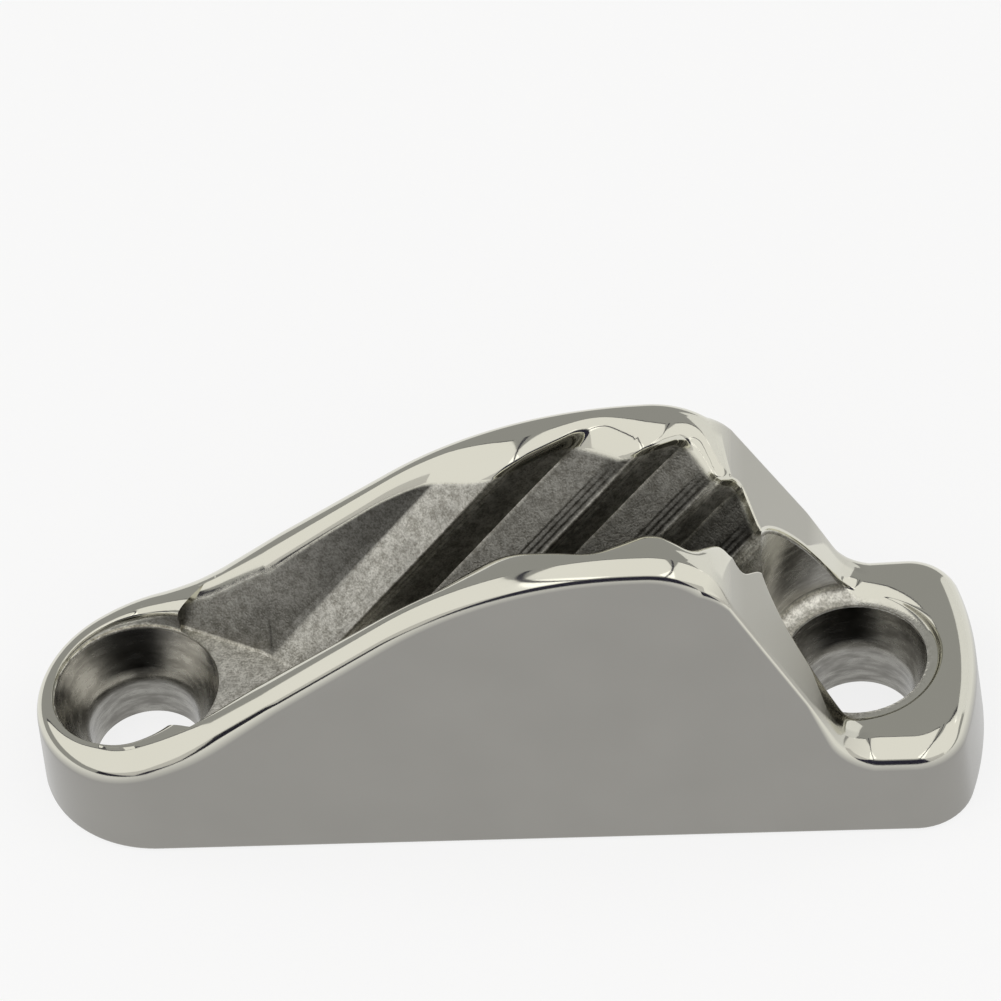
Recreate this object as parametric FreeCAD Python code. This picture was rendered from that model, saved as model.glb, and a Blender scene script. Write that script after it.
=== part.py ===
import FreeCAD, Part
import math
import os

# Jam cleat: one investment-cast piece, fastened flat with two countersunk screws.
# Frame: X along the cleat from its round low end to its square end, Y across, Z up.
# The origin lies on the base plane, half way between the two screw holes. All sizes in mm.

# Overall sizes
LENGTH = 82.0
HOLE_SPACING = 62.0
SQUARE_END_HALF_WIDTH = 12.1
HEIGHT = 31.4
DRAFT_DEG = 3.4

# Plan outline at the base
ROUND_END_X = -40.3
ROUND_END_RADIUS = 11.1
CORNER_RADIUS = 5.0
SQUARE_END_RADIUS = 30.0

# Side profile: corners of the top line, each rounded by its own radius
ENTRY_SLOPE_DEG = 10.0
RISE_DEG = 35.0
RAMP_DEG = 63.0
ENTRY_FOOT = (-27.8, 10.6)
RAMP_TOP_X = 19.25
SQUARE_END_HEIGHT = 9.2
ENTRY_BLEND = 25.0
CREST_BLEND = 38.0
RAMP_TOP_BLEND = 7.5
RAMP_FOOT_BLEND = 3.5
RIM_ROUND = 1.8

# Level of the groove's floor, the entry's floor and the top of both countersinks
FLOOR_Z = 8.5

# Rope groove: a V that narrows toward the square end and ends in a narrow slot at its floor
GROOVE_HALF_WIDTH = 2.0
GROOVE_TAPER = 0.05
GROOVE_FLARE = 0.255
GROOVE_START_X = -19.3
SLOT_HALF_WIDTH = 0.5

# Entry funnel between the round end's screw hole and the groove
ENTRY_START_X = -27.6
ENTRY_START_HALF_WIDTH = 6.9
ENTRY_END_HALF_WIDTH = 3.0
ENTRY_FLARE = 0.54

# The funnel runs on into the groove at a gentler taper, until the first tooth stands out of it
THROAT_TAPER = 0.356

# Slanted teeth: where the roots between them and their crests would meet the base plane.
# The last root lies beyond the groove's end, so the last tooth's long back is the rope's exit.
TOOTH_SLANT_DEG = 47.0
TOOTH_ROOTS = [-27.6, -18.6, -9.6, -1.3, 16.0]
TOOTH_CRESTS = [-24.1, -13.8, -5.2, 2.7]
TOOTH_DEPTH = 2.2
TOOTH_CREST_RADIUS = 0.35

# Screw holes: a clearance hole, a countersink and an upright well above it
HOLE_RADIUS = 4.8
SINK_START_Z = 4.0
ENTRY_SINK_RADIUS = 7.2
ENTRY_WELL_RADIUS = 7.3
EXIT_SINK_RADIUS = 6.1
EXIT_WELL_RADIUS = 7.6

# How far cutters and construction lines reach past the solid they shape
PAST = 4.0
BLOCK_TOP = HEIGHT + PAST
ROOT_OVERLAP = 1.5


def point(x, y, z):
    return FreeCAD.Vector(x, y, z)


def slope(degrees):
    return math.tan(math.radians(degrees))


def rounded_wire(corners, radii, closed=True):
    """Wire through corners, with an arc of the given radius at each corner that has one."""
    count = len(corners)
    ends = []
    arcs = []
    for i, (corner, radius) in enumerate(zip(corners, radii)):
        inner = closed or 0 < i < count - 1
        if not inner or radius == 0:
            ends.append((corner, corner))
            arcs.append(None)
            continue
        before = (corners[i - 1] - corner).normalize()
        after = (corners[(i + 1) % count] - corner).normalize()
        half = before.getAngle(after) / 2
        reach = radius / math.tan(half)
        middle = (before + after).normalize() * (radius / math.sin(half))
        centre = corner + middle
        start = corner + before * reach
        stop = corner + after * reach
        arcs.append(Part.Arc(start, centre - middle.normalize() * radius, stop).toShape())
        ends.append((start, stop))
    edges = []
    for i in range(count):
        if arcs[i]:
            edges.append(arcs[i])
        if i < count - 1 or closed:
            start, stop = ends[i][1], ends[(i + 1) % count][0]
            if start.distanceToPoint(stop) > 1e-6:
                edges.append(Part.LineSegment(start, stop).toShape())
    return Part.Wire(edges)


def outline(z):
    """Plan outline at height z: round end, two sides, two corners and a bowed end, all tangent.

    The draft draws every curve in about its own centre, so the walls are planes and cones.
    """
    inset = z * slope(DRAFT_DEG)
    left = ROUND_END_RADIUS - inset
    corner = CORNER_RADIUS - inset
    bow = SQUARE_END_RADIUS - inset
    centre_x = ROUND_END_X + ROUND_END_RADIUS
    bow_x = ROUND_END_X + LENGTH - SQUARE_END_RADIUS
    corner_y = SQUARE_END_HALF_WIDTH - CORNER_RADIUS
    corner_x = bow_x + math.sqrt((SQUARE_END_RADIUS - CORNER_RADIUS) ** 2 - corner_y ** 2)
    span = math.hypot(corner_x - centre_x, corner_y)
    side = math.atan2(corner_y, corner_x - centre_x) + math.asin((CORNER_RADIUS - ROUND_END_RADIUS) / span)
    turn = math.atan2(corner_y, corner_x - bow_x)

    def on_circle(x, y, radius, angle):
        return point(x + radius * math.cos(angle), y + radius * math.sin(angle), z)

    def mirror(p):
        return point(p.x, -p.y, p.z)

    side_start = on_circle(centre_x, 0, left, side + math.pi / 2)
    side_end = on_circle(corner_x, corner_y, corner, side + math.pi / 2)
    corner_mid = on_circle(corner_x, corner_y, corner, (side + math.pi / 2 + turn) / 2)
    bow_start = on_circle(bow_x, 0, bow, turn)
    edges = [
        Part.Arc(mirror(side_start), point(centre_x - left, 0, z), side_start).toShape(),
        Part.LineSegment(side_start, side_end).toShape(),
        Part.Arc(side_end, corner_mid, bow_start).toShape(),
        Part.Arc(bow_start, point(bow_x + bow, 0, z), mirror(bow_start)).toShape(),
        Part.Arc(mirror(bow_start), mirror(corner_mid), mirror(side_end)).toShape(),
        Part.LineSegment(mirror(side_end), mirror(side_start)).toShape(),
    ]
    return Part.Wire(edges)


def top_line():
    """Corners of the cleat's top line in side view, from the round end to the square end."""
    foot_x, foot_z = ENTRY_FOOT
    start_x = ROUND_END_X - PAST
    crest_x = foot_x + (HEIGHT - foot_z) / slope(RISE_DEG)
    ramp_foot_x = RAMP_TOP_X + (HEIGHT - SQUARE_END_HEIGHT) / slope(RAMP_DEG)
    corners = [
        point(start_x, 0, foot_z - (foot_x - start_x) * slope(ENTRY_SLOPE_DEG)),
        point(foot_x, 0, foot_z),
        point(crest_x, 0, HEIGHT),
        point(RAMP_TOP_X, 0, HEIGHT),
        point(ramp_foot_x, 0, SQUARE_END_HEIGHT),
        point(ROUND_END_X + LENGTH + PAST, 0, SQUARE_END_HEIGHT),
    ]
    radii = [0, ENTRY_BLEND, CREST_BLEND, RAMP_TOP_BLEND, RAMP_FOOT_BLEND, 0]
    return corners, radii


def outer_body():
    """Drafted block under the top line, with the rim between sides and top rounded."""
    block = Part.makeLoft([outline(0), outline(BLOCK_TOP)], True, True)
    corners, radii = top_line()
    corners = corners + [point(corners[-1].x, 0, -PAST), point(corners[0].x, 0, -PAST)]
    side = rounded_wire(corners, radii + [0, 0])
    half_span = SQUARE_END_HALF_WIDTH + PAST
    side.translate(point(0, -half_span, 0))
    under = Part.Face(side).extrude(point(0, 2 * half_span, 0))
    body = block.common(under)
    rim = [e for e in body.Edges if is_rim(e)]
    return body.makeFillet(RIM_ROUND, rim)


def is_rim(edge):
    """A rim edge lies above the base on the outside of the block, and crosses no face."""
    low = min(v.Z for v in edge.Vertexes)
    middle = edge.valueAt((edge.FirstParameter + edge.LastParameter) / 2)
    across = abs(edge.Vertexes[0].Y + edge.Vertexes[-1].Y) < 1e-6
    within = abs(middle.y) < 1e-6 and abs(middle.x) < abs(ROUND_END_X) - RIM_ROUND
    return low > PAST and not (across and within)


def groove_half_width(x, z):
    return GROOVE_HALF_WIDTH - GROOVE_TAPER * x + GROOVE_FLARE * (z - FLOOR_Z)


def entry_half_width(x, z):
    along = (x - ENTRY_START_X) / (GROOVE_START_X - ENTRY_START_X)
    narrow = ENTRY_START_HALF_WIDTH + along * (ENTRY_END_HALF_WIDTH - ENTRY_START_HALF_WIDTH)
    return narrow + ENTRY_FLARE * (z - FLOOR_Z)


def throat_half_width(x, z):
    return ENTRY_END_HALF_WIDTH - THROAT_TAPER * (x - GROOVE_START_X) + ENTRY_FLARE * (z - FLOOR_Z)


def wedge(start, low_end, high_end, half_width):
    """Flat-sided space from the floor level up past the top, its sides given by half_width(x, z).

    It runs from x = start to low_end along the floor and to high_end along its top.
    """
    def section(low_x, high_x):
        low, high = half_width(low_x, FLOOR_Z), half_width(high_x, BLOCK_TOP)
        return [
            point(low_x, -low, FLOOR_Z),
            point(low_x, low, FLOOR_Z),
            point(high_x, high, BLOCK_TOP),
            point(high_x, -high, BLOCK_TOP),
        ]

    near, far = section(start, start), section(low_end, high_end)
    sides = [near, far]
    for i in range(4):
        j = (i + 1) % 4
        sides.append([near[i], near[j], far[j], far[i]])
    faces = [Part.Face(Part.makePolygon(side + side[:1])) for side in sides]
    return Part.Solid(Part.Shell(faces))


def tooth(root, crest, foot):
    """Slanted prism on the +Y wall of the groove, with a slightly rounded crest.

    Its flanks run on a little past both roots, into the wall.
    """
    z0, z1 = FLOOR_Z - PAST, BLOCK_TOP
    lean = 1 / slope(TOOTH_SLANT_DEG)
    front = ROOT_OVERLAP * TOOTH_DEPTH / (crest - root)
    back = ROOT_OVERLAP * TOOTH_DEPTH / (foot - crest)

    def at(base, inward):
        x = base + z0 * lean
        return point(x, groove_half_width(x, z0) - inward, z0)

    corners = [
        at(root - ROOT_OVERLAP, -front),
        at(crest, TOOTH_DEPTH),
        at(foot + ROOT_OVERLAP, -back),
        at(foot + ROOT_OVERLAP, -PAST),
        at(root - ROOT_OVERLAP, -PAST),
    ]
    section = rounded_wire(corners, [0, TOOTH_CREST_RADIUS, 0, 0, 0])
    rise = z1 - z0
    along = point(rise * lean, rise * (GROOVE_FLARE - GROOVE_TAPER * lean), rise)
    return Part.Face(section).extrude(along)


def mirrored(shape):
    return shape.mirror(point(0, 0, 0), point(0, 1, 0))


def entry():
    """Funnel that leads the rope from over the round end's hole into the groove."""
    return wedge(ENTRY_START_X, GROOVE_START_X, GROOVE_START_X, entry_half_width)


def throat():
    """The funnel's run-on: flat sides that close in to well inside the slot."""
    def end_x(z):
        spare = throat_half_width(GROOVE_START_X, z) - SLOT_HALF_WIDTH / 2
        return GROOVE_START_X + spare / THROAT_TAPER

    return wedge(GROOVE_START_X, end_x(FLOOR_Z), end_x(BLOCK_TOP), throat_half_width)


def slot(end_x):
    """Narrow flat-bottomed slot under the V, which keeps the two rows of teeth apart."""
    corner = point(GROOVE_START_X, -SLOT_HALF_WIDTH, FLOOR_Z)
    return Part.makeBox(end_x - GROOVE_START_X, 2 * SLOT_HALF_WIDTH, BLOCK_TOP - FLOOR_Z, corner)


def groove():
    """The space the rope lies in: funnel, throat and tapered V less two rows of slanted teeth."""
    end_x = HOLE_SPACING / 2 - EXIT_SINK_RADIUS
    space = wedge(GROOVE_START_X, end_x, end_x, groove_half_width).fuse([throat(), entry()])
    row = [tooth(*places) for places in zip(TOOTH_ROOTS, TOOTH_CRESTS, TOOTH_ROOTS[1:])]
    return space.cut(row + [mirrored(t) for t in row]).fuse(slot(end_x))


def screw_hole(x, sink_radius, well_radius):
    """Clearance hole, its countersink and the upright well above it, as one revolved cutter."""
    corners = [
        point(0, 0, -PAST),
        point(HOLE_RADIUS, 0, -PAST),
        point(HOLE_RADIUS, 0, SINK_START_Z),
        point(sink_radius, 0, FLOOR_Z),
        point(well_radius, 0, FLOOR_Z),
        point(well_radius, 0, BLOCK_TOP),
        point(0, 0, BLOCK_TOP),
    ]
    section = Part.Face(Part.makePolygon(corners + corners[:1]))
    cutter = section.revolve(point(0, 0, 0), point(0, 0, 1), 360)
    cutter.translate(point(x, 0, 0))
    return cutter


def cleat_body():
    body = outer_body()
    hole_x = HOLE_SPACING / 2
    holes = [
        screw_hole(-hole_x, ENTRY_SINK_RADIUS, ENTRY_WELL_RADIUS),
        screw_hole(hole_x, EXIT_SINK_RADIUS, EXIT_WELL_RADIUS),
    ]
    return body.cut([groove()] + holes).removeSplitter()


os.makedirs("parts", exist_ok=True)
body = cleat_body().Solids[0]
print("valid", body.isValid(), "volume", round(body.Volume), "mm3")
body.exportStep("parts/cleat_body.step")
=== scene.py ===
import math

import bmesh
import bpy
import numpy as np
from mathutils import Matrix, Vector


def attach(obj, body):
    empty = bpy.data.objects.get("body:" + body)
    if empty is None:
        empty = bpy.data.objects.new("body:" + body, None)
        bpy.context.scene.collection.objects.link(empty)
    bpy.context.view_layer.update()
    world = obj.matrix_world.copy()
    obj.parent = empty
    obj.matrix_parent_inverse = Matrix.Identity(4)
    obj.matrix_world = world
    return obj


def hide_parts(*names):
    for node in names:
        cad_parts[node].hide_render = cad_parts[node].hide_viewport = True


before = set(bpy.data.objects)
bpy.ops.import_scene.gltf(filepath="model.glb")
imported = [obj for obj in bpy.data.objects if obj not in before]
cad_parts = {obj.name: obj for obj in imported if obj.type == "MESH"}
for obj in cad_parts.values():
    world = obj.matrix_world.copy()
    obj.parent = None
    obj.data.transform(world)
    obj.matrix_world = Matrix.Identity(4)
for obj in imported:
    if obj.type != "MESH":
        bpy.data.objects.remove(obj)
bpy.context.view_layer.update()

# The cleat's driving sizes, in millimetres, as the part's source has them.
# X runs along the cleat from its round end, Y across it, Z up from the base plane.
MM = 0.001
LENGTH = 82.0
HOLE_X = 31.0
SQUARE_HALF_WIDTH = 12.1
DRAFT = math.tan(math.radians(3.4))
ROUND_END_X = -40.3
ROUND_END_RADIUS = 11.1
CORNER_RADIUS = 5.0
SQUARE_END_RADIUS = 30.0
HEIGHT = 31.4
SQUARE_END_HEIGHT = 9.2
ENTRY_FOOT = (-27.8, 10.6)
RAMP_TOP_X = 19.25
ENTRY_SLOPE = math.tan(math.radians(10.0))
RISE_SLOPE = math.tan(math.radians(35.0))
RAMP_SLOPE = math.tan(math.radians(63.0))
TOP_BLENDS = [25.0, 38.0, 7.5, 3.5]
RIM_ROUND = 1.8
FLOOR_Z = 8.5
GROOVE_HALF_WIDTH = 2.0
GROOVE_TAPER = 0.05
GROOVE_FLARE = 0.255
GROOVE_START_X = -19.3
SLOT_HALF_WIDTH = 0.5
ENTRY_START_X = -27.6
ENTRY_START_HALF_WIDTH = 6.9
ENTRY_END_HALF_WIDTH = 3.0
ENTRY_FLARE = 0.54
ENTRY_TAPER = (ENTRY_START_HALF_WIDTH - ENTRY_END_HALF_WIDTH) / (GROOVE_START_X - ENTRY_START_X)
THROAT_TAPER = 0.356
LEAN = 1 / math.tan(math.radians(47.0))
TOOTH_ROOTS = [-27.6, -18.6, -9.6, -1.3, 16.0]
TOOTH_CRESTS = [-24.1, -13.8, -5.2, 2.7]
TOOTH_DEPTH = 2.2
TOOTH_CREST_RADIUS = 0.35
ROOT_OVERLAP = 1.5
HOLE_RADIUS = 4.8
SINK_START_Z = 4.0
ENTRY_SINK_RADIUS = 7.2
ENTRY_WELL_RADIUS = 7.3
EXIT_SINK_RADIUS = 6.1
EXIT_WELL_RADIUS = 7.6

# Where the first tooth's front meets the funnel, and the lowest point of that crease past the
# funnel's end
FIRST_FRONT = -28.05
CREASE_FOOT_Z = (GROOVE_START_X - FIRST_FRONT) / LEAN

# Edges that only the visible skin has. Names here that end in X are places along the cleat.
RAMP_EDGE_X = [19.9, 21.6, 27.4, 32.4]
RAMP_EDGE_ROUND = 0.45
RIM_ROUND_X = [-26, -18] + RAMP_EDGE_X
RIM_ROUNDS = [2.5, RIM_ROUND, RIM_ROUND, RAMP_EDGE_ROUND, RAMP_EDGE_ROUND, 2.4]
RAMP_INNER_REACH = 0.2
SATIN_X = [20.5, 22.5, 27.5, 29.5]
INNER_REACH = 0.85
MOST_RIM_SHARE = 0.88
MOST_INNER_SHARE = 0.6
INNER_DROP_X = [-27.6, -20, -12, -5, 2, 5, 8.5, 11, 14.5, 16.5, 18.5, 20.5, 22, 28.5, 31]
INNER_DROP = [0.9, 1.1, 1.6, 2.3, 2.6, 2.2, 1.7, 2.0, 2.0, 1.1, 0.8, 0.7, 0.2, 0.2, 0.6]
BASE_ROUND = 0.3
UNDER_EDGE = 0.15
UNDERSIDE_FINISH = 0.6
SINK_EDGE = 0.25

# Fine ripples before each crest, how far the teeth are worn soft along and below the rim, the
# fillet of the square end's well, and how far under the rounding the first rows of mesh lie
RIPPLE_PITCH = 0.5
RIPPLE_COUNT = 3
RIPPLE_DEPTH = 0.06
RIPPLE_START = 2.7
FIRST_TOOTH_RIPPLE = 0.5
SOFT_REACH = 1.1
SOFT_DEPTH = 6.0
SOFT_SAMPLES = 7
WELL_FILLET = 1.3
NEAR_RIM = [0.12, 0.3, 0.6]

# Painted light and shade on the cast and machined metal, as factors on its colour, and where that
# changes: painted shade in the groove, bores and well, painted highlights on crests, feet and the
# well's fillet, and a painted dark reflection in each countersink
FUNNEL_SHADE = 0.75
THROAT_SHADE_X = [-22, -8]
THROAT_SHADE = [1, 0.35]
CREASE_WIDTH = 0.12
CREASE_RISE = 2
CREASE_SHADE = 0.5
FRONT_SHADING = [1.3, 0.65, 0.55, 0.4]
RIPPLED_SHARES = [0.9, 0.6, 0.6, 0.6]
TOOTH_BACK_LIGHT = 1.2
CREST_HIGHLIGHT = 1.3
CREST_LINE = 0.1
CREST_FADE = 0.3
FRONT_FADE = 0.4
RIPPLE_FADE = 0.6
BACK_LINE_PITCH = 0.6
BACK_LINES = 2
SLOT_FLOOR_LIGHT = 1.5
FOOT_HIGHLIGHT = 2.0
FOOT_LINE = 0.3
DEEP_Y = [0.5, 2.0]
DEEP_SHADE = [0.5, 1]
MOST_PAINTED_LIGHT = 1.7
RING_HIGHLIGHT = 1.7
WELL_SHADE = 0.8
SINK_CONE_LIGHT = 1.25
SINK_DARK_REFLECTION = 0.1
SINK_DARK_ANGLE = 1.75
SINK_DARK_WIDTH = 0.6
SINK_LIGHT_RING = 0.8
BORE_SHADE = 0.6

# How finishes run into each other, along the cleat and from row to row of the mesh
# The ramp's top takes this share of the sides' mark: their satin roughness and their darker colour, a
# painted reflection
RAMP_SIDE = 0.6
FINISH_FADE = 0.6
WELL_CUT_FROM = 0.8
CAST_RIM_X = [-20, -17]
CAST_RIM = [0.2, 0.3, 0.45, 0.6, 0.75, 0.9, 1]
CAST_RIM_ABOVE = 4
SIDE_FADE_ROW = [0, 1, 4, 12]
SIDE_FADE = [1, 1, 0, 0]

# Construction: small steps past an edge, reaches past a solid, and how fine the curves are
STEP = 0.01
EDGE_SPARE = 0.1
PAST = 4
PAST_WALL = 9.0
TOP_STEP = 0.02
ARC_POINTS = 600
EDGE_POINTS = 800
SETTLE_ROUNDS = 12
MERGE_DISTANCE = 0.002
SHARP_ANGLE = math.radians(32)

# Lines of the mesh along each run of the inside wall, and its rows from base to floor
ENTRY_WELL_LINES = 40
BESIDE_HOLE_LINES = 24
FUNNEL_LINES = 34
THROAT_LINES = 40
FRONT_LINES = 10
LINES_PER_RIPPLE = 8
CREST_LINES = 13
NEAR_BACK_LINES = 13
FAR_BACK_LINES = 14
NEAR_BACK = 1.6
EXIT_WELL_LINES = 72
WALL_ROWS = 11
ARC_ROWS = 13
TOP_SHARES = [0.04, 0.35, 0.65, 0.96, 1]
LEVELS = np.r_[np.arange(31.0, 9.6, -0.5), 9.5, 9.2, 9.0, 8.8, 8.65, 8.55, FLOOR_Z]
SINK_ROWS = 8
BORE_ROWS = 6


# Curves that shape the cleat

def top_line():
    """Side view of the cleat's top: six corners joined by straights, each inner corner
    replaced by an arc tangent to both. Returns closely spaced points of it as x and z."""
    foot_x, foot_z = ENTRY_FOOT
    start, stop = ROUND_END_X - PAST, ROUND_END_X + LENGTH + PAST
    crest_x = foot_x + (HEIGHT - foot_z) / RISE_SLOPE
    ramp_foot_x = RAMP_TOP_X + (HEIGHT - SQUARE_END_HEIGHT) / RAMP_SLOPE
    corners = [
        (start, foot_z - (foot_x - start) * ENTRY_SLOPE),
        ENTRY_FOOT,
        (crest_x, HEIGHT),
        (RAMP_TOP_X, HEIGHT),
        (ramp_foot_x, SQUARE_END_HEIGHT),
        (stop, SQUARE_END_HEIGHT),
    ]
    x = np.arange(start, stop, TOP_STEP)
    cx, cz = np.array(corners).T
    z = np.interp(x, cx, cz)
    for i, radius in enumerate(TOP_BLENDS, 1):
        a = math.atan2(cz[i] - cz[i - 1], cx[i] - cx[i - 1])
        b = math.atan2(cz[i + 1] - cz[i], cx[i + 1] - cx[i])
        reach = radius * math.tan(abs(b - a) / 2)
        side = 1 if b > a else -1
        mid_x = cx[i] - reach * math.cos(a) - side * radius * math.sin(a)
        mid_z = cz[i] - reach * math.sin(a) + side * radius * math.cos(a)
        on_arc = (x > cx[i] - reach * math.cos(a)) & (x < cx[i] + reach * math.cos(b))
        drop = np.sqrt(np.maximum(radius ** 2 - (x - mid_x) ** 2, 0))
        z = np.where(on_arc, mid_z - side * drop, z)
    return x, z


TOP_X, TOP_Z = top_line()
TOP_SLOPE = np.gradient(TOP_Z, TOP_X)


def top_z(x):
    """Height of the top line at x."""
    return np.interp(x, TOP_X, TOP_Z)


def base_outline():
    """Half of the base outline, from the round tip to the middle of the bowed end: an arc,
    the straight side, the corner's arc and the bow's arc, all tangent, as points and normals."""
    round_x = ROUND_END_X + ROUND_END_RADIUS
    bow_x = ROUND_END_X + LENGTH - SQUARE_END_RADIUS
    corner_y = SQUARE_HALF_WIDTH - CORNER_RADIUS
    corner_x = bow_x + math.sqrt((SQUARE_END_RADIUS - CORNER_RADIUS) ** 2 - corner_y ** 2)
    span = math.hypot(corner_x - round_x, corner_y)
    side = math.atan2(corner_y, corner_x - round_x) + math.asin((CORNER_RADIUS - ROUND_END_RADIUS) / span)
    square = side + math.pi / 2
    turn = math.atan2(corner_y, corner_x - bow_x)
    arcs = [
        (round_x, 0, ROUND_END_RADIUS, math.pi, square),
        (corner_x, corner_y, CORNER_RADIUS, square, turn),
        (bow_x, 0, SQUARE_END_RADIUS, turn, 0),
    ]
    rows = []
    for x, y, radius, first, last in arcs:
        angle = np.linspace(first, last, ARC_POINTS)
        c, s = np.cos(angle), np.sin(angle)
        rows.append(np.stack([x + radius * c, y + radius * s, c, s], 1))
    share = np.linspace(0, 1, 2 * ARC_POINTS)[1:-1, None]
    rows.insert(1, rows[0][-1] * (1 - share) + rows[1][0] * share)
    return np.vstack(rows)


OUTLINE = base_outline()
OUTLINE_LENGTH = np.r_[0, np.cumsum(np.hypot(*np.diff(OUTLINE[:, :2], axis=0).T))]


def length_at_x(x):
    """Length along the outline at which it reaches x."""
    return np.interp(x, OUTLINE[:, 0], OUTLINE_LENGTH)


def length_at_angle(centre_x, angle):
    """Length along the outline that lies in the direction angle from a screw hole."""
    seen = np.arctan2(OUTLINE[:, 1], OUTLINE[:, 0] - centre_x)
    return np.interp(-angle, -seen, OUTLINE_LENGTH)


def tooth_profile(s, ripple_depth):
    """How far the teeth stand in from the V's wall: straight flanks from root to crest and from
    crest to the next root, a small arc over each crest, and a few fine ripples before it."""
    out = np.full_like(s, -PAST_WALL)
    for root, crest, foot in zip(TOOTH_ROOTS, TOOTH_CRESTS, TOOTH_ROOTS[1:]):
        up = TOOTH_DEPTH / (crest - root)
        down = -TOOTH_DEPTH / (foot - crest)
        rise, fall = math.hypot(1, up), math.hypot(1, down)
        mid_s = crest + TOOTH_CREST_RADIUS * (rise - fall) / (up - down)
        mid = up * (mid_s - root) - TOOTH_CREST_RADIUS * rise
        start = mid_s - TOOTH_CREST_RADIUS * up / rise
        stop = mid_s - TOOTH_CREST_RADIUS * down / fall
        arc = mid + np.sqrt(np.maximum(TOOTH_CREST_RADIUS ** 2 - (s - mid_s) ** 2, 0))
        flanks = np.minimum(up * (s - root), TOOTH_DEPTH + down * (s - crest))
        turns = (start - s) / RIPPLE_PITCH
        ripple = np.where((turns > 0) & (turns < RIPPLE_COUNT), 0.5 - 0.5 * np.cos(math.tau * turns), 0)
        share = FIRST_TOOTH_RIPPLE if crest == TOOTH_CRESTS[0] else 1
        tooth = np.where((s > start) & (s < stop), arc, flanks) - share * ripple_depth * ripple
        within = (s > root - ROOT_OVERLAP - SOFT_REACH) & (s < foot + ROOT_OVERLAP + SOFT_REACH)
        out = np.where(within, np.maximum(out, tooth), out)
    return out


def groove_painted_light(x, y, z):
    """Painted light and shade on the cast wall, standing in for shade and reflections in the groove.
    Each tooth's front is darker than the one before, and its rippled part darker still. A painted
    highlight runs along the crest, and the back behind it is lighter, with two faint painted light
    lines. The funnel's wall gets darker further in, with painted shade in the crease where it turns
    and a painted highlight along its foot. Deep in the slot all of it has painted shade."""
    s = x - z * LEAN
    crease = np.exp(-((x - GROOVE_START_X) / CREASE_WIDTH) ** 2) * (z < CREASE_FOOT_Z + CREASE_RISE)
    painted_light = FUNNEL_SHADE * np.interp(x, THROAT_SHADE_X, THROAT_SHADE) * (1 - CREASE_SHADE * crease)
    teeth = zip(TOOTH_ROOTS, TOOTH_CRESTS, TOOTH_ROOTS[1:], FRONT_SHADING, RIPPLED_SHARES)
    for root, crest, foot, front, rippled_share in teeth:
        start = max(root, FIRST_FRONT)
        rippled = crest - TOOTH_CREST_RADIUS - RIPPLE_COUNT * RIPPLE_PITCH
        ripple_shade = front * rippled_share
        places = [start, start + FRONT_FADE, rippled, rippled + RIPPLE_FADE,
                  crest - CREST_FADE, crest - CREST_LINE]
        tones = [FUNNEL_SHADE, front, front, ripple_shade, ripple_shade, CREST_HIGHLIGHT]
        on_front = np.interp(s, places, tones)
        turns = (s - crest - CREST_FADE) / BACK_LINE_PITCH
        line = np.where((turns > 0) & (turns < BACK_LINES), 0.5 - 0.5 * np.cos(math.tau * turns), 0)
        behind = np.interp(s, [crest + CREST_LINE, crest + CREST_FADE], [CREST_HIGHLIGHT, TOOTH_BACK_LIGHT])
        on_back = behind * (1 + line)
        painted_light = np.where((s > start) & (s <= crest), on_front, painted_light)
        painted_light = np.where((s > crest) & (s <= foot), on_back, painted_light)
    at_foot = np.where(x < GROOVE_START_X, FOOT_HIGHLIGHT, SLOT_FLOOR_LIGHT)
    painted_light = np.where(z < FLOOR_Z + FOOT_LINE, np.maximum(painted_light, at_foot), painted_light)
    return painted_light * np.interp(y, DEEP_Y, DEEP_SHADE)


def wall_y(x, z):
    """Inside wall: the wider of the tapered V and the funnel, less the tooth at x - z / tan(slant),
    and never closer to the middle than the slot at the bottom of the V. The teeth wear soft
    towards the rim: there each is its own average over a short way to both sides."""
    vee = GROOVE_HALF_WIDTH - GROOVE_TAPER * x + GROOVE_FLARE * (z - FLOOR_Z)
    taper = np.where(x < GROOVE_START_X, ENTRY_TAPER, THROAT_TAPER)
    funnel = ENTRY_END_HALF_WIDTH - taper * (x - GROOVE_START_X) + ENTRY_FLARE * (z - FLOOR_Z)
    below = top_z(x) - z
    s = x - z * LEAN
    sharp = tooth_profile(s, RIPPLE_DEPTH * np.clip(below - RIPPLE_START, 0, 1))
    shifts = SOFT_REACH * np.linspace(-1, 1, SOFT_SAMPLES)
    soft = np.mean([tooth_profile(s + shift, 0) for shift in shifts], 0)
    share = np.clip(1 - below / SOFT_DEPTH, 0, 1)
    tooth = sharp + (soft - sharp) * share * share * (3 - 2 * share)
    return np.maximum(np.minimum(np.maximum(vee, funnel), vee - tooth), SLOT_HALF_WIDTH)


def well_y(x, hole_x, radius):
    """Upright cylinder about a screw hole: its y at x, by the circle's formula."""
    return np.sqrt(np.maximum(radius ** 2 - (x - hole_x) ** 2, 0))


def exit_edge(z):
    """x at which the exit well's cylinder takes over from the toothed wall, at height z."""
    x = np.linspace(HOLE_X - EXIT_WELL_RADIUS, HOLE_X - EXIT_SINK_RADIUS + EDGE_SPARE, ARC_POINTS)
    z = np.atleast_1d(z)
    wider = well_y(x, HOLE_X, EXIT_WELL_RADIUS) > wall_y(x[None, :], z[:, None])
    return x[np.argmax(wider, 1)]


# The inside wall is a row of runs, and each run is a row of lines from the rim down to the floor.
# path(z) gives the lines' x and y at heights z, one row per line. x is where each line meets the
# rim, length its partner's place on the outline, ring its angle about a hole. hole is -1 or 1
# for a run by the round or the square end's hole, and 0 for the others.

EDGE_Z = np.linspace(FLOOR_Z, HEIGHT, EDGE_POINTS)
EDGE_X = exit_edge(EDGE_Z)
CORNER_Z = EDGE_Z[np.argmax(top_z(EDGE_X) <= EDGE_Z)]
CORNER_X = float(np.interp(CORNER_Z, EDGE_Z, EDGE_X))
EDGE_X = np.where(EDGE_Z > CORNER_Z, CORNER_X, EDGE_X)


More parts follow.
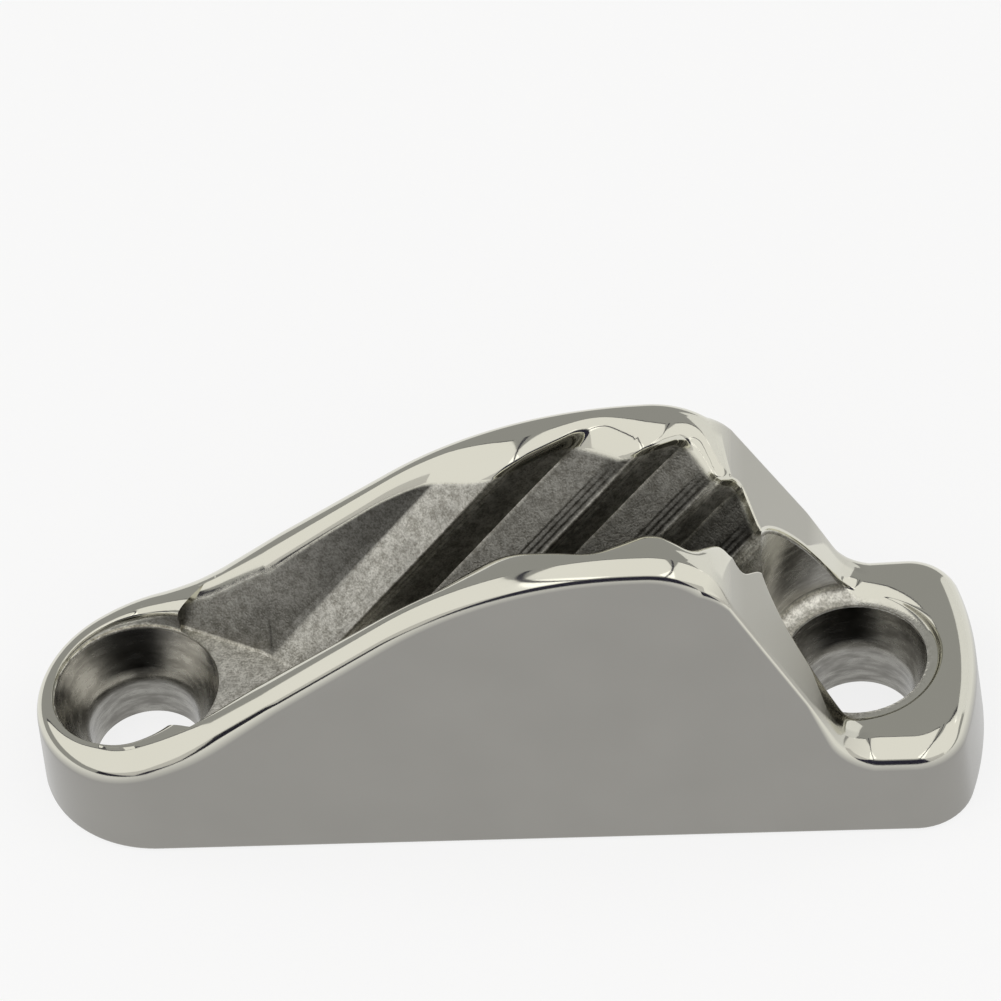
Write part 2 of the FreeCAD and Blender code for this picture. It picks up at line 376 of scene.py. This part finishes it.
def entry_well_run():
    """Half circle of the round end's well, up to where the funnel cuts in."""
    first = math.acos((ENTRY_START_X - STEP + HOLE_X) / ENTRY_WELL_RADIUS)
    angle = np.linspace(math.pi, first, ENTRY_WELL_LINES)
    x = -HOLE_X + ENTRY_WELL_RADIUS * np.cos(angle)

    def path(z):
        line = np.broadcast_to(x[:, None], z.shape)
        return line, np.broadcast_to(ENTRY_WELL_RADIUS * np.sin(angle)[:, None], z.shape)

    return {"x": x, "path": path, "length": length_at_angle(-HOLE_X, angle), "ring": angle, "hole": -1}


def entry_run(start_length):
    """Funnel wall, on upright lines; the first ones lie beside the screw hole."""
    first = math.acos((ENTRY_START_X + STEP + HOLE_X) / ENTRY_SINK_RADIUS)
    beside = np.linspace(first, 0, BESIDE_HOLE_LINES)
    past = np.linspace(-HOLE_X + ENTRY_SINK_RADIUS, GROOVE_START_X - STEP, FUNNEL_LINES)[1:]
    x = np.r_[-HOLE_X + ENTRY_SINK_RADIUS * np.cos(beside), past]
    end_length = length_at_x(GROOVE_START_X)
    share = (x - x[0]) / (x[-1] - x[0])

    def path(z):
        line = np.broadcast_to(x[:, None], z.shape)
        return line, wall_y(line, z)

    ring = np.r_[beside, np.full(len(past), np.nan)]
    return {"x": x, "path": path, "length": start_length + share * (end_length - start_length),
            "ring": ring, "hole": -1}


def throat_run():
    """Funnel's run-on, on lines that fan out from the foot of the first tooth's front."""
    start = GROOVE_START_X + STEP
    stop = np.interp(FIRST_FRONT, TOP_X - TOP_Z * LEAN, TOP_X)
    x = np.linspace(start, stop, THROAT_LINES)[:-1]
    rim_z = top_z(x)

    def path(z):
        share = np.clip((z - CREASE_FOOT_Z) / (rim_z - CREASE_FOOT_Z)[:, None], 0, 1)
        line = start + (x - start)[:, None] * share
        return line, wall_y(line, z)

    return {"x": x, "path": path, "length": length_at_x(x), "ring": np.full(len(x), np.nan), "hole": 0}


def groove_run():
    """Toothed wall, on lines that lean with the teeth and stop at the groove's start and exit."""
    high = exit_edge(FLOOR_Z)[0] - FLOOR_Z * LEAN
    stops = [[FIRST_FRONT]]
    for root, crest, foot in zip(TOOTH_ROOTS, TOOTH_CRESTS, TOOTH_ROOTS[1:]):
        near = TOOTH_CREST_RADIUS
        rippled = crest - near - RIPPLE_COUNT * RIPPLE_PITCH
        behind = min(foot, crest + NEAR_BACK)
        stops.append(np.linspace(max(root, FIRST_FRONT), rippled, FRONT_LINES))
        stops.append(np.linspace(rippled, crest - near, LINES_PER_RIPPLE * RIPPLE_COUNT + 1))
        stops.append(np.linspace(crest - near, crest + near, CREST_LINES))
        stops.append(np.linspace(crest + near, behind, NEAR_BACK_LINES))
        stops.append(np.linspace(behind, min(foot, high), FAR_BACK_LINES))
    s = np.unique(np.round(np.concatenate(stops), 5))
    x = np.clip(np.interp(s, TOP_X - TOP_Z * LEAN, TOP_X), GROOVE_START_X + STEP, CORNER_X)

    def path(z):
        edge = np.interp(z, EDGE_Z, EDGE_X)
        line = np.clip(s[:, None] + z * LEAN, GROOVE_START_X + STEP, edge)
        return line, wall_y(line, z)

    return {"x": x, "path": path, "length": length_at_x(x), "ring": np.full(len(s), np.nan), "hole": 0}


def exit_well_run():
    """Half circle of the square end's well, from the exit edge round to the middle of the end, with
    a quarter-round fillet at its foot."""
    share = np.linspace(0, 1, EXIT_WELL_LINES)
    reach = np.arccos((EDGE_X - HOLE_X) / EXIT_WELL_RADIUS)

    def path(z):
        angle = np.interp(z, EDGE_Z, reach) * (1 - share[:, None])
        low = np.clip(FLOOR_Z + WELL_FILLET - z, 0, WELL_FILLET)
        radius = EXIT_WELL_RADIUS - WELL_FILLET + np.sqrt(WELL_FILLET ** 2 - low ** 2)
        return HOLE_X + radius * np.cos(angle), radius * np.sin(angle)

    z = np.full(len(share), CORNER_Z)
    for _ in range(SETTLE_ROUNDS):
        x = path(z[:, None])[0][:, 0]
        z = top_z(x)
    angle = np.arctan2(path(z[:, None])[1][:, 0], x - HOLE_X)
    length = np.where(angle > math.pi / 2, length_at_x(x), length_at_angle(HOLE_X, angle))
    return {"x": x, "path": path, "length": length, "ring": math.pi * (1 - share), "hole": 1}


first_run = entry_well_run()
RUNS = [first_run, entry_run(first_run["length"][-1]), throat_run(), groove_run(), exit_well_run()]


def all_paths(z):
    """x and y of every wall line at heights z, one row of z per line."""
    counts = np.cumsum([len(run["x"]) for run in RUNS])[:-1]
    parts = [run["path"](block) for run, block in zip(RUNS, np.split(z, counts))]
    return np.vstack([p[0] for p in parts]), np.vstack([p[1] for p in parts])


def stacked(rows):
    """Grid of points from a list of rows, each with one point per line."""
    return np.stack(rows, 1)


def point_rows(x, y, z):
    """Points from x, y and z, each an array or one number for all."""
    return np.stack(np.broadcast_arrays(x, y, z), -1).astype(float)


def blend_rows(a, b, shares):
    """Rows of points on the straight lines from a to b."""
    return [a * (1 - t) + b * t for t in shares]


def parabola_rows(start, corner, stop, shares):
    """Rows of points on the parabolas that leave start towards corner and reach stop from it."""
    return [(1 - t) ** 2 * start + 2 * t * (1 - t) * corner + t ** 2 * stop for t in shares]


def skin_grid():
    """The +Y half of the cleat as one grid of lines by rows. The rows start under the base, go up
    the drafted wall, round the rim's outer arc, over the top, round the inner arc, down the inner
    wall and across the floor. Returns the points and each point's marks: its finish (0 polished,
    1 cast, 2 machined), whether it is on the sides, whose colour is painted darker as a reflection,
    or on the satin ramp, and the painted light and shade on its cast and machined metal, then each
    line's angle about a hole and which hole."""
    length = np.concatenate([run["length"] for run in RUNS])
    ox, oy, nx, ny = (np.interp(length, OUTLINE_LENGTH, OUTLINE[:, i]) for i in range(4))
    outward = point_rows(nx, ny, 0.0)
    wall_normal = point_rows(nx, ny, DRAFT)
    wall_normal /= np.linalg.norm(wall_normal, axis=1)[:, None]
    base = point_rows(ox, oy, 0.0)

    # Where the wall would meet the top
    z = top_z(ox)
    for _ in range(SETTLE_ROUNDS):
        z = top_z(ox - DRAFT * z * nx)
    corner = base - outward * DRAFT * z[:, None] + point_rows(0 * z, 0.0, z)
    slope = np.interp(corner[:, 0], TOP_X, TOP_SLOPE)
    top_normal = point_rows(-slope, 0.0, 1.0)
    top_normal /= np.linalg.norm(top_normal, axis=1)[:, None]

    # Inner edge of the rim
    ex = np.concatenate([run["x"] for run in RUNS])
    ez = top_z(ex)
    ey = all_paths(ez[:, None])[1][:, 0]
    edge = point_rows(ex, ey, ez)
    rim_width = np.hypot(corner[:, 0] - ex, corner[:, 1] - ey)

    # Outer arc: a ball rolled along between wall and top
    cosine = (wall_normal * top_normal).sum(1)
    bend = np.arccos(cosine)
    rim_round = np.interp(corner[:, 0], RIM_ROUND_X, RIM_ROUNDS)
    radius = np.minimum(rim_round, MOST_RIM_SHARE * rim_width / np.tan(bend / 2))
    middle = corner - (wall_normal + top_normal) * (radius / (1 + cosine))[:, None]
    arc = []
    for t in np.linspace(0, 1, ARC_ROWS):
        n = np.sin((1 - t) * bend)[:, None] * wall_normal + np.sin(t * bend)[:, None] * top_normal
        arc.append(middle + n / np.sin(bend)[:, None] * radius[:, None])

    # Inner arc: a parabola that leaves the top well in from the edge and meets the wall below it
    flat = edge - arc[-1]
    flat[:, 2] = 0
    left = np.linalg.norm(flat, axis=1)
    sharp = np.interp(ex, RAMP_EDGE_X, [PAST_WALL, RAMP_INNER_REACH, RAMP_INNER_REACH, PAST_WALL])
    drop = np.minimum(np.interp(ex, INNER_DROP_X, INNER_DROP), MOST_INNER_SHARE * (ez - FLOOR_Z))
    reach = np.minimum(INNER_REACH * left, sharp)
    outer = edge - flat * (reach / left)[:, None]
    outer[:, 2] = top_z(outer[:, 0])
    low_z = ez - drop
    low_x, low_y = all_paths(low_z[:, None])
    inner = point_rows(low_x[:, 0], low_y[:, 0], low_z)
    top = blend_rows(arc[-1], outer, TOP_SHARES)
    for row in top:
        row[:, 2] = top_z(row[:, 0])
    round_in = parabola_rows(outer, edge, inner, np.linspace(0, 1, ARC_ROWS)[1:])

    # Inner wall, on rows that follow the rim and then on level ones, and the floor
    near = low_z[:, None] - np.array(NEAR_RIM)
    wall_z = np.maximum(np.c_[near, np.minimum(LEVELS, near[:, -1:])], FLOOR_Z)
    wall_x, inner_y = all_paths(wall_z)
    inside = list(point_rows(wall_x, inner_y, wall_z).transpose(1, 0, 2))
    ring = np.concatenate([run["ring"] for run in RUNS])
    hole = np.concatenate([np.full(len(run["x"]), run["hole"]) for run in RUNS])
    sink = np.where(hole < 0, ENTRY_SINK_RADIUS, EXIT_SINK_RADIUS)
    on_ring = ~np.isnan(ring)
    angle = np.where(on_ring, ring, 0)

    def about_hole(radius, z):
        """A circle about the nearer hole, and for lines past the holes the middle plane."""
        x = np.where(on_ring, hole * HOLE_X + radius * np.cos(angle), wall_x[:, -1])
        return point_rows(x, np.where(on_ring, radius * np.sin(angle), 0), z)

    floor = about_hole(sink, FLOOR_Z)
    under = about_hole(HOLE_RADIUS, 0.0)
    about = about_hole(HOLE_RADIUS + UNDER_EDGE, 0.0)
    base_in = base - outward * BASE_ROUND
    base_up = base - outward * DRAFT * BASE_ROUND + np.array([0, 0, BASE_ROUND])
    base_arc = parabola_rows(base_in, base, base_up, [0.25, 0.5, 0.75])
    wall = blend_rows(base_up, arc[0], np.linspace(0, 1, WALL_ROWS)[:-1])
    rows = [under, about, base_in] + base_arc + wall + arc + top + round_in + inside + [floor]

    # Finish: cast below the rim and, at the funnel, a little over it; machined in the square end's
    # well and where the bores open below
    below = low_z[:, None] - np.c_[wall_z, np.full(len(ex), FLOOR_Z)]
    first = len(rows) - below.shape[1]
    finish = np.zeros((len(ex), len(rows)))
    finish[:, 1:3] = UNDERSIDE_FINISH
    finish[on_ring, 0] = 2
    finish[:, first:] = np.clip(below / FINISH_FADE, 0, 1)
    fade_in = np.interp(ex, CAST_RIM_X, [1, 0])[:, None]
    near_rim = slice(first - CAST_RIM_ABOVE, first - CAST_RIM_ABOVE + len(CAST_RIM))
    finish[:, near_rim] = np.maximum(finish[:, near_rim], fade_in * CAST_RIM)
    in_well = (hole[:, None] > 0) & (wall_z > FLOOR_Z + WELL_FILLET * WELL_CUT_FROM)
    finish[:, first:-1] *= 1 + in_well

    # Sides up into the outer arc, and the ramp's top, which the material makes satin and paints darker, as
    # a reflection
    ramp = np.interp(corner[:, 0], RAMP_EDGE_X, [0, 1, 1, 0])
    side = np.zeros_like(finish)
    walls = first - len(round_in) - len(top) - len(arc)
    side[:, :walls] = 1
    side[:, walls:walls + len(arc)] = np.interp(np.arange(len(arc)), SIDE_FADE_ROW, SIDE_FADE)
    over = slice(walls + len(arc) // 2, walls + len(arc) + len(top))
    side[:, over] = np.maximum(side[:, over], RAMP_SIDE * ramp[:, None])
    satin = np.zeros_like(finish)
    satin[:, over] = np.interp(corner[:, 0], SATIN_X, [0, 1, 1, 0])[:, None]

    # Painted light and shade on the cast and machined metal
    painted_light = np.full_like(finish, SLOT_FLOOR_LIGHT)
    # Painted shade where the bores open below
    painted_light[on_ring, 0] = BORE_SHADE
    # Painted shade on the square end's well wall above its fillet, and a painted highlight on the fillet
    # ring at its foot
    well_painted_light = np.where(in_well, WELL_SHADE, RING_HIGHLIGHT)
    # Painted light and shade on the groove's cast wall
    wall_painted_light = groove_painted_light(wall_x, inner_y, wall_z)
    painted_light[:, first:-1] = np.where(hole[:, None] > 0, well_painted_light, wall_painted_light)
    return stacked(rows), {"finish": finish, "side": side, "satin": satin, "painted_light": painted_light}, ring, hole


def hole_grid(ring, hole, which, sink_radius):
    """Half of a countersunk hole: a profile of radius against height, turned about the hole.
    Each side of the cone has a painted dark reflection, with a lighter ring below it, and the bore
    below the cone is painted darker, as shade."""
    angle = ring[(hole == which) & ~np.isnan(ring)]
    depth = FLOOR_Z - SINK_START_Z
    profile = [(sink_radius, FLOOR_Z)]
    profile += [(sink_radius + (HOLE_RADIUS - sink_radius) * t, FLOOR_Z - depth * t)
                for t in np.linspace(SINK_EDGE / depth, 1, SINK_ROWS)]
    profile += [(HOLE_RADIUS, z) for z in np.linspace(SINK_START_Z, 0, BORE_ROWS)[1:]]
    rows = [point_rows(which * HOLE_X + r * np.cos(angle), r * np.sin(angle), z) for r, z in profile]
    finish = np.full((len(angle), len(rows)), 2.0)
    finish[:, 0] = 1.0
    heights = np.array([z for _, z in profile])
    # Painted dark reflection on each side of the cone, lighter below it, and painted shade in the bore
    patch = np.exp(-((angle - SINK_DARK_ANGLE) / SINK_DARK_WIDTH) ** 4)[:, None]
    patch = patch * (heights > SINK_START_Z + SINK_LIGHT_RING)
    cone_painted_light = SINK_CONE_LIGHT + (SINK_DARK_REFLECTION - SINK_CONE_LIGHT) * patch
    painted_light = np.where(heights > SINK_START_Z, cone_painted_light, BORE_SHADE)
    painted_light[:, 0] = SLOT_FLOOR_LIGHT
    none = np.zeros_like(finish)
    return stacked(rows), {"finish": finish, "side": none, "satin": none, "painted_light": painted_light}


def mesh_piece(name, grids, material):
    """One object from grids of points: each grid cell is a face, each grid is mirrored across the
    XZ plane, coinciding points are merged and all faces are turned outwards."""
    points, faces = [], []
    marks = {"finish": [], "side": [], "satin": [], "painted_light": []}
    start = 0
    for grid, mark in grids:
        n, m = grid.shape[:2]
        index = np.arange(n * m).reshape(n, m)
        corners = [index[:-1, :-1], index[:-1, 1:], index[1:, 1:], index[1:, :-1]]
        cell = np.stack(corners, -1).reshape(-1, 4)
        for side in (1, -1):
            points.append(grid.reshape(-1, 3) * [1, side, 1] * MM)
            faces.append((cell if side > 0 else cell[:, ::-1]) + start)
            for kind, values in marks.items():
                values.append(mark[kind].ravel())
            start += n * m
    mesh = bpy.data.meshes.new(name)
    mesh.from_pydata(np.vstack(points), [], np.vstack(faces))
    for kind, values in marks.items():
        layer = mesh.attributes.new(kind, "FLOAT", "POINT")
        layer.data.foreach_set("value", np.concatenate(values).astype(np.float32))
    work = bmesh.new()
    work.from_mesh(mesh)
    bmesh.ops.remove_doubles(work, verts=work.verts, dist=MERGE_DISTANCE * MM)
    bmesh.ops.recalc_face_normals(work, faces=work.faces)
    work.to_mesh(mesh)
    work.free()
    mesh.shade_smooth()
    mesh.set_sharp_from_angle(angle=SHARP_ANGLE)
    piece = bpy.data.objects.new(name, mesh)
    bpy.context.scene.collection.objects.link(piece)
    mesh.materials.append(material)
    return piece


# Materials

class Wire:
    """A shader socket that can be added, multiplied and so on, each adding its Math node."""

    def __init__(self, maker, socket):
        self.maker, self.socket = maker, socket

    def maths(self, operation, *others):
        """A Math node on the given numbers and wires."""
        return self.maker.add("ShaderNodeMath", {"operation": operation}, dict(enumerate(others)))

    def __add__(self, other):
        return self.maths("ADD", self, other)

    def __rsub__(self, other):
        return self.maths("SUBTRACT", other, self)

    def __mul__(self, other):
        return self.maths("MULTIPLY", self, other)

    __radd__ = __add__
    __rmul__ = __mul__

    def above(self, low, high):
        """0 below low, 1 above high, smooth between."""
        return self.maker.add("ShaderNodeMapRange", {"interpolation_type": "SMOOTHSTEP"},
                              {"Value": self, "From Min": low, "From Max": high})


class Finish:
    """A material and the nodes added to it."""

    def __init__(self, name):
        self.material = bpy.data.materials.new(name)
        self.material.use_nodes = True
        self.tree = self.material.node_tree
        self.tree.nodes.clear()

    def add(self, kind, settings=None, inputs=None, output=0):
        """A node of this kind: its settings first, then the values or links of its sockets.
        Returns the wire of one of its outputs."""
        node = self.tree.nodes.new(kind)
        for key, value in (settings or {}).items():
            setattr(node, key, value)
        for key, value in (inputs or {}).items():
            if isinstance(value, Wire):
                self.tree.links.new(value.socket, node.inputs[key])
            elif isinstance(value, tuple) and len(value) == 3 and node.inputs[key].type == "RGBA":
                node.inputs[key].default_value = (*value, 1)
            else:
                node.inputs[key].default_value = value
        return Wire(self, node.outputs[output])

    def place(self):
        """Where a point lies on the object."""
        return self.add("ShaderNodeTexCoord", output="Object")

    def mark(self, name):
        """One of the skin's marks."""
        return self.add("ShaderNodeAttribute", {"attribute_name": name}, output="Fac")

    def tinted(self, colour, amount):
        """Colour made darker or lighter by a number."""
        return self.add("ShaderNodeVectorMath", {"operation": "SCALE"}, {0: colour, "Scale": amount})

    def mix_colour(self, share, a, b):
        """Colour a turning into b as share goes from 0 to 1."""
        return self.add("ShaderNodeMix", {"data_type": "RGBA"}, {0: share, 6: a, 7: b}, 2)

    def mix(self, share, a, b):
        """Number a turning into b as share goes from 0 to 1."""
        return self.add("ShaderNodeMix", {"data_type": "FLOAT"}, {0: share, 2: a, 3: b})

    def noise(self, place, scale, roughness=0.6):
        """Cloudy numbers round 0.5, with scale cells to the metre and three octaves of detail."""
        return self.add("ShaderNodeTexNoise", None,
                        {"Vector": place, "Scale": scale, "Detail": 3.0, "Roughness": roughness})

    def surface(self, shader):
        """The finished material, with this shader on its surface."""
        out = self.tree.nodes.new("ShaderNodeOutputMaterial")
        self.tree.links.new(shader.socket, out.inputs["Surface"])
        return self.material

    def principled(self, inputs):
        """The main shader, with the values or links of its sockets."""
        return self.add("ShaderNodeBsdfPrincipled", None, inputs)


# Each finish runs between two colours, in linear light
RIM_COLOURS = (0.67, 0.66, 0.57), (0.69, 0.68, 0.60)
# The sides' colours are darker than the rims', a painted reflection: the steel is the same
SIDE_REFLECTION_COLOURS = (0.290, 0.284, 0.264), (0.330, 0.323, 0.301)
CAST_COLOURS = (0.24, 0.23, 0.20), (0.53, 0.52, 0.475)
CUT_COLOURS = (0.32, 0.31, 0.285), (0.56, 0.55, 0.51)

# Scale of each pattern, in cells to the metre, how the streaks are drawn out round the holes, and
# the depth of the casting's grain
GRAIN_SCALE = 5200.0
LUMP_SCALE = 1300.0
STAIN_SCALE = 260.0
HAZE_SCALE = 120.0
STREAK_SCALE = 1600.0
STREAK_STRETCH = (0.25, 0.25, 1.0)
GRAIN_DEPTH = 0.07 * MM


def cleat_steel():
    """Mirror-polished rims, satin sides and ramp, a cast groove and machined countersinks, told
    apart by the skin's marks. The sides and part of the ramp's top are coloured darker than the rims,
    a painted reflection. The casting has a fine sparkling grain, the machined cones turned streaks,
    and both carry painted light and shade from the skin's marks."""
    f = Finish("polished_steel")
    place = f.place()
    finish = f.mark("finish")
    side = f.mark("side")
    painted_light = f.mark("painted_light")
    cast = finish.above(0.1, 1.0)
    cut = finish.above(1.2, 1.9)
    turned = f.add("ShaderNodeVectorMath", {"operation": "MULTIPLY"}, {0: place, 1: STREAK_STRETCH})
    grain = f.noise(place, GRAIN_SCALE)
    lumps = f.noise(place, LUMP_SCALE)
    stain = f.noise(place, STAIN_SCALE)
    haze = f.noise(place, HAZE_SCALE, 0.5)
    streaks = f.noise(turned, STREAK_SCALE)
    rim_colour = f.mix_colour(haze, *RIM_COLOURS)
    # The sides take a darker colour than the rims, a painted reflection
    side_reflection_colour = f.mix_colour(haze, *SIDE_REFLECTION_COLOURS)
    polish_colour = f.mix_colour(side, rim_colour, side_reflection_colour)
    speckle = (grain * 0.45 + lumps * 0.55).above(0.32, 0.68)
    cast_colour = f.mix_colour(speckle, *CAST_COLOURS)
    # The cast and machined metal take painted light and shade from the skin's marks, varied by random
    # stains; the cast metal's is kept under a limit
    lit = painted_light * (0.7 + stain * 0.6)
    cast_colour = f.tinted(cast_colour, lit.maths("MINIMUM", lit, MOST_PAINTED_LIGHT))
    cut_colour = f.mix_colour(streaks.above(0.3, 0.7), *CUT_COLOURS)
    cut_colour = f.tinted(cut_colour, painted_light * (0.8 + stain * 0.4))
    colour = f.mix_colour(cut, f.mix_colour(cast, polish_colour, cast_colour), cut_colour)
    polish = haze * 0.04 + side * 0.16 + f.mark("satin") * 0.25 + 0.05
    roughness = f.mix(cast, polish, lumps * 0.2 + 0.3)
    roughness = f.mix(cut, roughness, streaks * 0.2 + 0.16)
    height = (grain * 0.5 + lumps * 0.5) * cast * (1 - cut) * GRAIN_DEPTH
    bump = f.add("ShaderNodeBump", None, {"Strength": 0.9, "Distance": 1.0, "Height": height})
    return f.surface(f.principled({"Base Color": colour, "Metallic": 1.0, "Roughness": roughness,
                                   "Normal": bump}))


steel = cleat_steel()
skin, marks, ring, hole = skin_grid()
cleat = mesh_piece("jam_cleat", [
    (skin, marks),
    hole_grid(ring, hole, -1, ENTRY_SINK_RADIUS),
    hole_grid(ring, hole, 1, EXIT_SINK_RADIUS),
], steel)
weighted = cleat.modifiers.new("weighted_normals", "WEIGHTED_NORMAL")
weighted.mode = "FACE_AREA_WITH_ANGLE"
weighted.keep_sharp = True
weighted.weight = 80
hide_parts("cleat_body")
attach(cleat, "root")


# Floor, studio and camera

SOFTBOX_RADIANCE = 1.3
SOFTBOX_LENGTH = 1.7
SOFTBOXES = [(0, 0.82), (-52, 0.66), (58, 0.84)]
SEAM_LEANS = [-28.4, 28.7]
SEAM_WIDTH = 0.03
BAR_WIDTH = 0.05
LIGHT_HEIGHT = 0.8
SHEET_HEIGHT = 0.78
LIGHT_TILT = math.radians(20)
LIGHT_COLOUR = (1.0, 0.985, 0.96)
ROOM_GREY = 0.37
FLOOR_REACH = 3
FLOOR_DROP = 0.0002
FLOOR_WHITE = 0.8
PAPER = (0.9, 0.9, 0.9)
DARK = (0.02, 0.018, 0.045)
MATT = 0.9

# The camera that was fitted to the outline in the photograph
SENSOR_WIDTH = 36.0
LENS = 172.3
CAMERA_PLACE = (38.264, -270.845, 315.498)
CAMERA_RIGHT = (0.99492229, 0.02914084, -0.09633511)
CAMERA_UP = (0.0449777, 0.72753658, 0.68459297)
CAMERA_BACK = (0.09003693, -0.68544974, 0.72253167)


def flat_sheet(name, corners, material):
    """Flat piece of the studio through four corners, not a part of the object."""
    mesh = bpy.data.meshes.new(name)
    mesh.from_pydata(corners, [], [(0, 1, 2, 3)])
    mesh.materials.append(material)
    sheet = bpy.data.objects.new(name, mesh)
    bpy.context.scene.collection.objects.link(sheet)


def white_floor():
    """White paper. Seen by the camera or in the metal, most of it shows as plain white, and the
    rest keeps the cleat's shadow."""
    f = Finish("white_floor")
    paper = f.principled({"Base Color": PAPER, "Roughness": MATT})
    white = f.add("ShaderNodeEmission", None, {"Color": (1.0, 1.0, 1.0), "Strength": 1.0})
    seen = [f.add("ShaderNodeLightPath", output=name)
            for name in ("Is Camera Ray", "Is Glossy Ray", "Is Transmission Ray")]
    share = (seen[0] + seen[1] + seen[2]) * FLOOR_WHITE
    return f.surface(f.add("ShaderNodeMixShader", None, {0: share, 1: paper, 2: white}))


def floor_and_backdrop():
    """White floor, and what the rims mirror besides the lights: a low dark screen behind the
    camera, a white card behind the square end, and the lights' dark frames."""
    white = white_floor()
    ends = [(-1, -1), (1, -1), (1, 1), (-1, 1)]
    flat_sheet("floor", [(FLOOR_REACH * x, FLOOR_REACH * y, -FLOOR_DROP) for x, y in ends], white)
    cloth = Finish("dark_screen")
    dark = cloth.surface(cloth.principled({"Base Color": DARK, "Roughness": MATT}))
    flat_sheet("screen", [(-1.6, -1.0, 0), (1.6, -1.0, 0), (1.6, -1.0, 0.34), (-1.6, -1.0, 0.34)], dark)
    flat_sheet("card", [(0.45, 0.85, 0.0), (0.95, 0.45, 0.0), (0.95, 0.45, 0.5), (0.45, 0.85, 0.5)], white)
    for lean in SEAM_LEANS:
        flat_sheet("bar", over_cleat(lean, SEAM_WIDTH, SOFTBOX_LENGTH, 0.0), dark)
    for lean, width in SOFTBOXES:
        flat_sheet("bar", over_cleat(lean, width, BAR_WIDTH, SOFTBOX_LENGTH / 2), dark)


def studio_turn(lean):
    """Turn that points +Z from the cleat at a place over it, leaning by so many degrees from
    upright about the cleat's cross axis, then a little towards the camera's side."""
    return Matrix.Rotation(math.radians(lean), 3, "Y") @ Matrix.Rotation(LIGHT_TILT, 3, "X")


def over_cleat(lean, width, length, middle):
    """Corners of a flat sheet just under the softboxes, its middle so far back along them."""
    half_x, half_y = width / 2, length / 2
    flat = [(-half_x, -half_y), (half_x, -half_y), (half_x, half_y), (-half_x, half_y)]
    return [studio_turn(lean) @ Vector((x, middle + y, SHEET_HEIGHT)) for x, y in flat]


def softbox(lean, width):
    """One of three long soft lights side by side over the cleat, which reach from behind it well
    over to the camera's side. Its power is its area times pi / 2 times its brightness."""
    light = bpy.data.lights.new("softbox", "AREA")
    light.shape = "RECTANGLE"
    light.size, light.size_y = width, SOFTBOX_LENGTH
    light.energy = math.pi / 2 * width * SOFTBOX_LENGTH * SOFTBOX_RADIANCE
    light.color = LIGHT_COLOUR
    lamp = bpy.data.objects.new("softbox", light)
    bpy.context.scene.collection.objects.link(lamp)
    turn = studio_turn(lean)
    lamp.matrix_world = Matrix.Translation(turn @ Vector((0, 0, LIGHT_HEIGHT))) @ turn.to_4x4()


def studio():
    """Even grey light from all round."""
    world = bpy.data.worlds.new("studio")
    bpy.context.scene.world = world
    world.use_nodes = True
    background = world.node_tree.nodes["Background"]
    background.inputs["Color"].default_value = (ROOM_GREY, ROOM_GREY, ROOM_GREY, 1)
    background.inputs["Strength"].default_value = 1.0


def camera():
    """The photograph's view: place and turn found by fitting the outline, with a long lens."""
    data = bpy.data.cameras.new("camera")
    data.sensor_width = SENSOR_WIDTH
    data.lens = LENS
    data.clip_start, data.clip_end = 0.05, 20.0
    turn = Matrix((CAMERA_RIGHT, CAMERA_UP, CAMERA_BACK)).transposed().to_4x4()
    cam = bpy.data.objects.new("camera", data)
    cam.matrix_world = Matrix.Translation(Vector(CAMERA_PLACE) * MM) @ turn
    bpy.context.scene.collection.objects.link(cam)
    bpy.context.scene.camera = cam


floor_and_backdrop()
studio()
for lean, width in SOFTBOXES:
    softbox(lean, width)
camera()
bpy.context.scene.view_settings.view_transform = "Standard"
